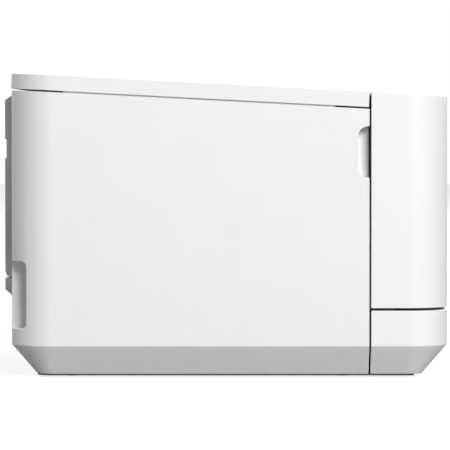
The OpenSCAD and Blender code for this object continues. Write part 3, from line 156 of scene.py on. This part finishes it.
materials = {}
for name, look in list(finishes.items()) + list(metals.items()):
    material = bpy.data.materials.new(name)
    material.use_nodes = True
    tree = material.node_tree
    tree.nodes.clear()
    isMetal = name in metals
    place = addNode(tree, "ShaderNodeTexCoord").outputs["Object"]
    grainMm = look["grainMm"] if isMetal else (look["grainMm"],) * 3
    grainScale = [1000 / g for g in grainMm]
    stretched = addNode(tree, "ShaderNodeMapping", {"Scale": grainScale}, {"Vector": place})
    grain = addNode(tree, "ShaderNodeTexNoise", {"Scale": 1.0, "Detail": 3.0, "Roughness": 0.6},
                    {"Vector": stretched.outputs["Vector"]})
    cloud = addNode(tree, "ShaderNodeTexNoise", {"Scale": 1000 / surface["mottleMm"], "Detail": 2.0}, {"Vector": place})
    blend = addNode(tree, "ShaderNodeMix", {"data_type": "RGBA"})
    for socket, value in zip([s for s in blend.inputs if s.type == "RGBA"], (look["dark"], look["light"])):
        socket.default_value = srgbToLinear(value)
    tree.links.new((grain if isMetal else cloud).outputs["Fac"], blend.inputs["Factor"])
    rough = addNode(tree, "ShaderNodeMapRange", {
        "From Min": surface["noiseLow"], "From Max": surface["noiseHigh"],
        "To Min": look["rough"] - look["roughSpan"], "To Max": look["rough"] + look["roughSpan"],
    }, {"Value": grain.outputs["Fac"]})
    colourOut, roughOut = [s for s in blend.outputs if s.type == "RGBA"][0], rough.outputs["Result"]
    if "worn" in look:  # edges within a millimetre, in patches, get another tone and less roughness: partly rubbed wear, partly painted edge light and shade, lighter on the dark finishes and darker on the pale ones
        rounded = addNode(tree, "ShaderNodeBevel", {"samples": 4, "Radius": surface["edgeMm"] / 1000})
        flat = addNode(tree, "ShaderNodeNewGeometry")
        bend = addNode(tree, "ShaderNodeVectorMath", {"operation": "DOT_PRODUCT"},
                       {0: rounded.outputs[0], 1: flat.outputs["Normal"]})
        edge = addNode(tree, "ShaderNodeMapRange", {"From Min": surface["bendFrom"], "From Max": surface["bendTo"]},
                       {"Value": bend.outputs["Value"]})
        patch = addNode(tree, "ShaderNodeTexNoise", {"Scale": 1000 / surface["patchMm"], "Detail": 3.0},
                        {"Vector": place})
        spread = addNode(tree, "ShaderNodeMapRange",
                         {"From Min": surface["patchLow"], "From Max": surface["patchHigh"]},
                         {"Value": patch.outputs["Fac"]})
        edgeWearAndLightMask = addNode(tree, "ShaderNodeMath", {"operation": "MULTIPLY"},
                         {0: edge.outputs["Result"], 1: spread.outputs["Result"]})
        tone = addNode(tree, "ShaderNodeMix", {"data_type": "RGBA"}, {"Factor": edgeWearAndLightMask.outputs[0]})
        before, after = [s for s in tone.inputs if s.type == "RGBA"]
        tree.links.new(colourOut, before)
        after.default_value = srgbToLinear(look["worn"])
        polish = addNode(tree, "ShaderNodeMapRange", {"To Max": -surface["polish"]}, {"Value": edgeWearAndLightMask.outputs[0]})
        smoother = addNode(tree, "ShaderNodeMath", {"operation": "ADD"}, {0: roughOut, 1: polish.outputs["Result"]})
        colourOut, roughOut = [s for s in tone.outputs if s.type == "RGBA"][0], smoother.outputs[0]
    shader = addNode(tree, "ShaderNodeBsdfPrincipled", {"Metallic": 1.0 if isMetal else 0.0},
                     {"Base Color": colourOut, "Roughness": roughOut})
    if not isMetal:
        shader.inputs["IOR"].default_value = look["ior"]
        bump = addNode(tree, "ShaderNodeBump",
                       {"Strength": surface["bumpStrength"], "Distance": look["grainDepth"] / 1000},
                       {"Height": grain.outputs["Fac"]})
        tree.links.new(bump.outputs["Normal"], shader.inputs["Normal"])
    addNode(tree, "ShaderNodeOutputMaterial", None, {"Surface": shader.outputs["BSDF"]})
    materials[name] = material

# clear optical glass of the scan lens
lensGlass = bpy.data.materials.new("polishedOpticalGlass")
lensGlass.use_nodes = True
glassLook = {"Base Color": srgbToLinear("EAF4F6"), "Transmission Weight": 1.0, "Roughness": 0.02, "IOR": 1.52}
for key, value in glassLook.items():
    lensGlass.node_tree.nodes["Principled BSDF"].inputs[key].default_value = value
materials["polishedOpticalGlass"] = lensGlass

nodeFinish = {
    "mouldedWhiteAbs": "left_cover right_cover top_cover",
    "mouldedFrontAbs": "front_door cassette_front paper_stop",
    "sparkedGreyAbs": "rear_cover rear_door",
    "linerGreyAbs": "door_liner",
    "mouldedDarkHips": "base_pan cassette_tray path_guide scanner_housing power_inlet cartridge_shell "
                       "fan_frame fan_blades control_panel",
    "keyPolycarbonate": "power_button stop_button ok_button arrow_rocker",
    "displayAcrylic": "display_window",
    "bluePom": "left_guide right_guide guide_pinion rear_guide",
    "glassFilledPet": "fuser_frame",
    "naturalPom": "drum_gear motor_pinion main_gear feed_idler low_exit_idler high_exit_idler toner_agitator",
    "nitrileRubber": "feet separation_pad",
    "groundEpdm": "pickup_roller registration_roller transfer_roller developer_roller exit_roller",
    "siliconeSleeve": "pressure_roller",
    "pfaSleeve": "fuser_roller",
    "photoconductor": "photo_drum",
    "zincPlatedSteel": "left_frame right_frame scanner_plate lift_plate main_motor data_sockets",
    "turnedSteel": "rear_screws hinge_pins pinch_roller exit_pinch_roller",
    "opticalMirror": "polygon_mirror fold_mirror",
    "solderMask": "main_board power_board",
    "polishedOpticalGlass": "scan_lens",
}
for finish, names in nodeFinish.items():
    for nodeName in names.split():
        mesh = nodes[nodeName].data
        mesh.materials.clear()
        mesh.materials.append(materials[finish])
print("materials:", len(materials))


def addPiece(name, bm, finish, body, smoothDeg=32):
    mesh = bpy.data.meshes.new(name)
    bm.to_mesh(mesh)
    bm.free()
    mesh.materials.append(materials[finish])
    mesh.polygons.foreach_set("use_smooth", [True] * len(mesh.polygons))
    mesh.set_sharp_from_angle(angle=math.radians(smoothDeg))
    piece = bpy.data.objects.new(name, mesh)
    bpy.context.scene.collection.objects.link(piece)
    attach(piece, body)
    return piece


def camel(nodeName):
    return nodeName.replace("_", " ").title().replace(" ", "")


# casing mouldings: the CAD shapes with the small radii that a mould leaves on every edge
mouldedEdges = {
    "left_cover": dict(radius=0.9, finish="mouldedWhiteAbs"),
    "right_cover": dict(radius=0.9, finish="mouldedWhiteAbs"),
    "top_cover": dict(radius=1.0, finish="mouldedWhiteAbs"),
    "front_door": dict(radius=0.9, finish="mouldedFrontAbs"),
    "cassette_front": dict(radius=0.9, finish="mouldedFrontAbs"),
    "paper_stop": dict(radius=0.5, finish="mouldedFrontAbs"),
    "rear_cover": dict(radius=0.7, finish="sparkedGreyAbs"),
    "rear_door": dict(radius=0.9, finish="sparkedGreyAbs"),
    "control_panel": dict(radius=0.4, finish="mouldedDarkHips"),
    "power_button": dict(radius=0.5, finish="keyPolycarbonate"),
    "stop_button": dict(radius=0.5, finish="keyPolycarbonate"),
    "ok_button": dict(radius=0.5, finish="keyPolycarbonate"),
    "arrow_rocker": dict(radius=0.8, finish="keyPolycarbonate"),
    "display_window": dict(radius=0.3, finish="displayAcrylic"),
    "feet": dict(radius=0.8, finish="nitrileRubber"),
    "door_liner": dict(radius=0.6, finish="linerGreyAbs"),
}


mould = {"mergeM": 1e-5, "flatDeg": 0.4, "cornerDeg": 25, "segments": 3}


def mouldedCopy(nodeName, radius, finish):
    bm = bmesh.new()
    bm.from_mesh(nodes[nodeName].data)
    bmesh.ops.remove_doubles(bm, verts=bm.verts, dist=mould["mergeM"])
    bmesh.ops.dissolve_limit(bm, angle_limit=math.radians(mould["flatDeg"]), verts=bm.verts, edges=bm.edges)
    bmesh.ops.connect_verts_concave(bm, faces=bm.faces)
    corners = [e for e in bm.edges if e.calc_face_angle(0) > math.radians(mould["cornerDeg"])]
    bmesh.ops.bevel(bm, geom=corners, offset=radius / 1000, offset_type="OFFSET", affect="EDGES",
                    segments=mould["segments"], profile=0.5, material=-1, clamp_overlap=True)
    bmesh.ops.connect_verts_concave(bm, faces=bm.faces)
    piece = addPiece(camel(nodeName) + "Moulding", bm, finish, bodyOf[nodeName])
    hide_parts(nodeName)
    flatten = piece.modifiers.new("weightedNormals", "WEIGHTED_NORMAL")
    flatten.mode = "FACE_AREA"
    flatten.keep_sharp = True
    return piece


for nodeName, look in mouldedEdges.items():
    mouldedCopy(nodeName, **look)
print("mouldings:", len(mouldedEdges))

# rollers, boards and the power inlet: one CAD solid each, repainted by place into the parts that it is made of
shaftMm = 3.3
gearFromMm = 152.5
rollerLook = {
    "pickup_roller": dict(axis=(-132.624, 62.5), skin="groundEpdm"),
    "registration_roller": dict(axis=(-116.971, 102.55), skin="groundEpdm"),
    "pinch_roller": dict(axis=(-116.971, 86.85), skin="naturalPom"),
    "transfer_roller": dict(axis=(0, 85.35), skin="groundEpdm"),
    "fuser_roller": dict(axis=(99.995, 106.15), skin="pfaSleeve"),
    "pressure_roller": dict(axis=(99.995, 80.85), skin="siliconeSleeve"),
    "exit_roller": dict(axis=(142.995, 226.711), skin="groundEpdm"),
    "exit_pinch_roller": dict(axis=(142.995, 217.711), skin="naturalPom", shaft=1.8),
    "photo_drum": dict(axis=(0, 105.15), skin="photoconductor"),
    "developer_roller": dict(axis=(-20.223, 106.919), skin="groundEpdm"),
    "toner_agitator": dict(axis=(-58, 128), skin="naturalPom"),
}


def paintedCopy(nodeName, finishAt, suffix="Dressed"):
    bm = bmesh.new()
    bm.from_mesh(nodes[nodeName].data)
    names = []
    for face in bm.faces:
        finish = finishAt(face.calc_center_median() * 1000)
        if finish not in names:
            names.append(finish)
        face.material_index = names.index(finish)
    piece = addPiece(camel(nodeName) + suffix, bm, names[0], bodyOf[nodeName])
    for finish in names[1:]:
        piece.data.materials.append(materials[finish])
    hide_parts(nodeName)
    return piece


def rollerPaint(axis, skin, shaft=shaftMm):
    def finishAt(point):
        if math.hypot(point.y - axis[0], point.z - axis[1]) <= shaft:
            return "turnedSteel"
        return "naturalPom" if point.x > gearFromMm else skin
    return finishAt


for nodeName, look in rollerLook.items():
    paintedCopy(nodeName, rollerPaint(**look))

# the boards' faces and parts, by their height off the board and their place on it
boards = {"faceX": -158.8, "chipX": -162.5, "socketZ": 95, "transformerY": -45, "capacitorZ": 65}


def mainBoardPaint(q):
    if q.x > boards["faceX"] - 0.01:
        return "solderMask"
    if q.x > boards["chipX"]:
        return "chipEpoxy"
    return "tinnedContact" if q.z < boards["socketZ"] else "linerGreyAbs"


def powerBoardPaint(q):
    if q.x > boards["faceX"] - 0.01:
        return "solderMask"
    if q.z > boards["socketZ"]:
        return "zincPlatedSteel"
    if q.y < boards["transformerY"]:
        return "transformerTape"
    return "blueSleevePvc" if q.z > boards["capacitorZ"] else "chipEpoxy"


# the inlet's three blades stand in its cavity
blades = {"x": (-147, -140, -133), "z": 44.5, "halfWidth": 1.1, "halfHeight": 2.6, "fromY": 162.9, "toY": 172}


def inletPaint(q):
    inWidth = min(abs(q.x - x) for x in blades["x"]) < blades["halfWidth"]
    inHeight = abs(q.z - blades["z"]) < blades["halfHeight"]
    return "tinnedContact" if inWidth and inHeight and blades["fromY"] < q.y < blades["toY"] else "mouldedDarkHips"


paintedCopy("main_board", mainBoardPaint)
paintedCopy("power_board", powerBoardPaint)
paintedCopy("power_inlet", inletPaint)
print("repainted:", len(rollerLook) + 3)


# small parts that the CAD leaves out
def roundedBox(bm, low, high, radius, matrix=Matrix()):
    size = Vector(high) - Vector(low)
    middle = (Vector(high) + Vector(low)) / 2
    made = bmesh.ops.create_cube(bm, size=1,
                                 matrix=Matrix.Translation(middle / 1000) @ Matrix.Diagonal((*(size / 1000), 1)))
    edges = {e for v in made["verts"] for e in v.link_edges}
    bevelled = bmesh.ops.bevel(bm, geom=list(edges), offset=radius / 1000, affect="EDGES", segments=3, profile=0.5,
                               material=-1)
    verts = {v for f in bevelled["faces"] for v in f.verts}
    bmesh.ops.transform(bm, matrix=matrix, verts=list(verts))


def prism(bm, outline, low, high, matrix):
    face = bm.faces.new([bm.verts.new((x / 1000, y / 1000, low / 1000)) for x, y in outline])
    extruded = bmesh.ops.extrude_face_region(bm, geom=[face], use_keep_orig=True)
    top = [v for v in extruded["geom"] if isinstance(v, bmesh.types.BMVert)]
    bmesh.ops.translate(bm, verts=top, vec=(0, 0, (high - low) / 1000))
    bmesh.ops.transform(bm, matrix=matrix, verts=list(face.verts) + top)
    bmesh.ops.recalc_face_normals(bm, faces=bm.faces)


def arcBand(inner, outer, startDeg, endDeg, steps=28):
    angles = [math.radians(startDeg + (endDeg - startDeg) * i / steps) for i in range(steps + 1)]
    out = [(outer * math.cos(a), outer * math.sin(a)) for a in angles]
    return out + [(inner * math.cos(a), inner * math.sin(a)) for a in reversed(angles)]


def bar(length, width, turnDeg, shift=(0, 0)):
    c, d = math.cos(math.radians(turnDeg)), math.sin(math.radians(turnDeg))
    corners = [(-length / 2, -width / 2), (length / 2, -width / 2), (length / 2, width / 2), (-length / 2, width / 2)]
    return [(x * c - y * d + shift[0], x * d + y * c + shift[1]) for x, y in corners]


# the casing's top slopes: origin at the middle of its rear edge, millimetres along it
slope = {"backY": 177.85, "height": 252.6, "fallDeg": 3, "keyY": -330.254}


def at(x, y, z):
    return Matrix.Translation((x / 1000, y / 1000, z / 1000))


def turnX(degrees):
    return Matrix.Rotation(math.radians(degrees), 4, "X")


onTop = at(0, slope["backY"], slope["height"]) @ turnX(slope["fallDeg"])


def keyPlace(x, y=0):
    return onTop @ at(x, slope["keyY"] + y, 0)


# symbols printed on the keys
symbols = {"okX": 127, "stopX": 144, "powerX": 161, "rockerX": 108, "inkFrom": -0.13, "inkTo": -0.05, "inkStep": 0.004}
marks = [
    ("okKeyTick", "ok_button_body", symbols["okX"],
     [bar(2.2, 0.5, -45, (-1.3, -0.5)), bar(4.0, 0.5, 50, (0.7, 0.3))]),
    ("stopKeyCross", "stop_button_body", symbols["stopX"],
     [bar(4.4, 0.55, 45), bar(4.4, 0.55, 135)]),
    ("powerKeyRing", "power_button_body", symbols["powerX"],
     [arcBand(1.8, 2.3, 125, 415), bar(2.2, 0.5, 90, (0, 1.7))]),
    ("rockerArrows", "arrow_rocker_body", symbols["rockerX"],
     [[(-2, 6.6), (2, 6.6), (0, 9.6)], [(-2, -6.6), (0, -9.6), (2, -6.6)]]),
]
for name, body, x, outlines in marks:
    bm = bmesh.new()
    for k, outline in enumerate(outlines):
        prism(bm, outline, symbols["inkFrom"], symbols["inkTo"] + k * symbols["inkStep"], keyPlace(x))
    addPiece(name, bm, "greyKeyInk", body)

# light pipes over the three keys, and the liquid crystal pane behind the display's window
pipes = {"y": 12.5, "half": (2.6, 0.8), "from": -0.9, "to": -0.1, "radius": 0.35, "kinds": [
    ("readyLightPipe", symbols["okX"], "greenLightPipe"),
    ("faultLightPipe", symbols["stopX"], "amberLightPipe"),
    ("powerLightPipe", symbols["powerX"], "greenLightPipe"),
]}


def plate(bm, size, matrix):  # a flat rounded box, centred on its place
    length, width = size["half"]
    roundedBox(bm, (-length, -width, size["from"]), (length, width, size["to"]), size["radius"], matrix)


for name, x, finish in pipes["kinds"]:
    bm = bmesh.new()
    plate(bm, pipes, keyPlace(x, pipes["y"]))
    addPiece(name, bm, finish, "door")
pane = {"x": 62, "half": (24, 8), "from": -0.7, "to": -0.62, "radius": 0.03}
bm = bmesh.new()
plate(bm, pane, keyPlace(pane["x"]))
addPiece("liquidCrystalPane", bm, "unlitLcd", "door")
print("control panel dressed")

# sheet ribs on the floor of the output bin
ribs = {"binFront": (-255, 0), "binRear": (-44, -38), "stepMm": 27, "count": 7, "startShare": 0.16, "endShare": 0.93}
run = Vector(ribs["binRear"]) - Vector(ribs["binFront"])
along = Matrix.Rotation(math.atan2(run.y, run.x), 4, "X")
middle = Vector(ribs["binFront"]) + run * (ribs["startShare"] + ribs["endShare"]) / 2
rib = {"half": (0.6, run.length * (ribs["endShare"] - ribs["startShare"]) / 2), "from": -0.3, "to": 0.8, "radius": 0.4}
bm = bmesh.new()
for i in range(ribs["count"]):
    x = (i - (ribs["count"] - 1) / 2) * ribs["stepMm"]
    plate(bm, rib, onTop @ at(x, middle.x, middle.y) @ along)
addPiece("outputBinRibs", bm, "mouldedWhiteAbs", "casing")

# painted shade of the rear screws' cross recesses: flat dark crosses standing a hair proud of the heads, in place of
# the hollows
screws = {"x": (-145, 145), "z": (68, 225), "turns": (20, 110), "slot": (4.2, 0.9),
          "from": -0.05, "to": 0.02, "step": 0.004}
bm = bmesh.new()
for x in screws["x"]:
    for z in screws["z"]:
        for k, turn in enumerate(screws["turns"]):
            prism(bm, bar(*screws["slot"], turn), screws["from"], screws["to"] + k * screws["step"],
                  at(x, slope["backY"], z) @ turnX(-90))
addPiece("screwRecesses", bm, "chipEpoxy", "casing")

# contacts in the network socket and the tongue in the socket under the top one
sockets = {"x": -150.2, "netZ": 111, "usbZ": 130, "mouthY": slope["backY"], "backDepth": 12.95, "frontDepth": 12.4}
contact = {"half": (0.18, 5), "from": -0.18, "to": 0.18, "radius": 0.06, "count": 8, "stepMm": 1.02,
           "depth": 8, "rise": 2.5, "leanDeg": 18}
bm = bmesh.new()
for i in range(contact["count"]):
    x = sockets["x"] + (i - (contact["count"] - 1) / 2) * contact["stepMm"]
    place = at(x, sockets["mouthY"] - contact["depth"], sockets["netZ"] + contact["rise"])
    plate(bm, contact, place @ turnX(contact["leanDeg"]))
addPiece("networkContacts", bm, "tinnedContact", "casing")
tongue = {"half": (2.8, 1.7), "from": -12.9, "to": -3.5, "radius": 0.4}
backs = {"netZ": (5.9, 5.6), "usbZ": (5.9, 4.7)}  # half width and half height of each socket's back
bm = bmesh.new()
place = at(sockets["x"], sockets["mouthY"], 0)
roundedBox(bm, (-tongue["half"][0], tongue["from"], sockets["usbZ"] - tongue["half"][1]),
           (tongue["half"][0], tongue["to"], sockets["usbZ"] + tongue["half"][1]), tongue["radius"], place)
for key, (halfWidth, halfHeight) in backs.items():
    roundedBox(bm, (-halfWidth, -sockets["backDepth"], sockets[key] - halfHeight),
               (halfWidth, -sockets["frontDepth"], sockets[key] + halfHeight), 0.2, place)
addPiece("socketInserts", bm, "chipEpoxy", "casing")

# cork pad at the lift plate's front edge, and grip ridges on the cartridge's lip
cork = {"low": (-24, -139.5, 10.0), "high": (24, -126, 10.6), "radius": 0.25}
bm = bmesh.new()
roundedBox(bm, cork["low"], cork["high"], cork["radius"])
addPiece("liftPlateCork", bm, "pressedCork", "lift_plate_body")
ridge = {"half": (1.1, 4), "from": 140.8, "to": 141.7, "radius": 0.4, "count": 11, "stepMm": 9, "y": -93}
bm = bmesh.new()
for i in range(ridge["count"]):
    plate(bm, ridge, at((i - (ridge["count"] - 1) / 2) * ridge["stepMm"], ridge["y"], 0))
addPiece("cartridgeGripRidges", bm, "bluePom", "casing")
print("small parts made")

# floor, light and camera
studio = {"floorHex": "A6A6A7", "floorHalfM": 9, "floorGlow": 0.8, "worldLevel": 0.11, "white": (1, 1, 1, 1)}

scene = bpy.context.scene
scene.view_settings.view_transform = "Standard"
world = bpy.data.worlds.new("paleStudio")
scene.world = world
world.use_nodes = True
tree = world.node_tree
tree.nodes.clear()
rays = addNode(tree, "ShaderNodeLightPath").outputs
seen = addNode(tree, "ShaderNodeMath", {"operation": "MAXIMUM"}, {0: rays["Is Camera Ray"], 1: rays["Is Glossy Ray"]})
seenToo = addNode(tree, "ShaderNodeMath", {"operation": "MAXIMUM"},
                  {0: seen.outputs[0], 1: rays["Is Transmission Ray"]})
ambient = addNode(tree, "ShaderNodeBackground", {"Color": studio["white"], "Strength": studio["worldLevel"]})
backdrop = addNode(tree, "ShaderNodeBackground", {"Color": studio["white"], "Strength": 1.0})
mix = addNode(tree, "ShaderNodeMixShader", None, {0: seenToo.outputs[0], 1: ambient.outputs[0], 2: backdrop.outputs[0]})
addNode(tree, "ShaderNodeOutputWorld", None, {"Surface": mix.outputs[0]})

bm = bmesh.new()
bmesh.ops.create_grid(bm, x_segments=1, y_segments=1, size=studio["floorHalfM"])
floorMesh = bpy.data.meshes.new("studioFloor")
bm.to_mesh(floorMesh)
bm.free()
floor = bpy.data.objects.new("studioFloor", floorMesh)
scene.collection.objects.link(floor)
paper = bpy.data.materials.new("palePaper")
paper.use_nodes = True
tree = paper.node_tree
tree.nodes.clear()
rays = addNode(tree, "ShaderNodeLightPath").outputs
matt = addNode(tree, "ShaderNodeBsdfDiffuse", {"Color": srgbToLinear(studio["floorHex"])})
glow = addNode(tree, "ShaderNodeEmission", {"Color": studio["white"], "Strength": studio["floorGlow"]})
both = addNode(tree, "ShaderNodeAddShader", None, {0: matt.outputs[0], 1: glow.outputs[0]})
lit = addNode(tree, "ShaderNodeMixShader", None, {0: rays["Is Camera Ray"], 1: matt.outputs[0], 2: both.outputs[0]})
addNode(tree, "ShaderNodeOutputMaterial", None, {"Surface": lit.outputs[0]})
floorMesh.materials.append(paper)


# a low key light off the front corner, a softer one over it, fill on the far side and a rim light behind
lamps = {
    "keySoftBox": dict(where=(-5.04, -2.04, 2.54), aimZ=0.12, size=(2.6, 2.0), watts=310),
    "topSoftBox": dict(where=(0, 0, 3.2), aimZ=0.2, size=(2.4, 2.4), watts=6),
    "fillSoftBox": dict(where=(4.4, -2.8, 2.6), aimZ=0.12, size=(2.6, 2.0), watts=100),
    "rimSoftBox": dict(where=(2.17, 3.77, 2.5), aimZ=0.12, size=(2.0, 1.6), watts=76),
}
for name, look in lamps.items():
    light = bpy.data.lights.new(name, "AREA")
    light.shape = "RECTANGLE"
    light.size, light.size_y = look["size"]
    light.energy = look["watts"]
    lamp = bpy.data.objects.new(name, light)
    lamp.location = look["where"]
    toAim = Vector((0, 0, look["aimZ"])) - Vector(look["where"])
    lamp.rotation_euler = toAim.to_track_quat("-Z", "Y").to_euler()
    scene.collection.objects.link(lamp)
print("lamps:", len(lamps))

viewpoint = {"distance": 3.198, "eye": 0.214, "tiltDeg": 1.65, "lensMm": 291, "sensorMm": 36, "farM": 50}
camera = bpy.data.objects.new("sideCamera", bpy.data.cameras.new("sideCamera"))
camera.data.sensor_width = viewpoint["sensorMm"]
camera.data.lens = viewpoint["lensMm"]
camera.data.clip_end = viewpoint["farM"]
camera.location = (-viewpoint["distance"], 0, viewpoint["eye"])
camera.rotation_euler = (math.radians(90 - viewpoint["tiltDeg"]), 0, math.radians(-90))
scene.collection.objects.link(camera)
scene.camera = camera

print("studio ready")
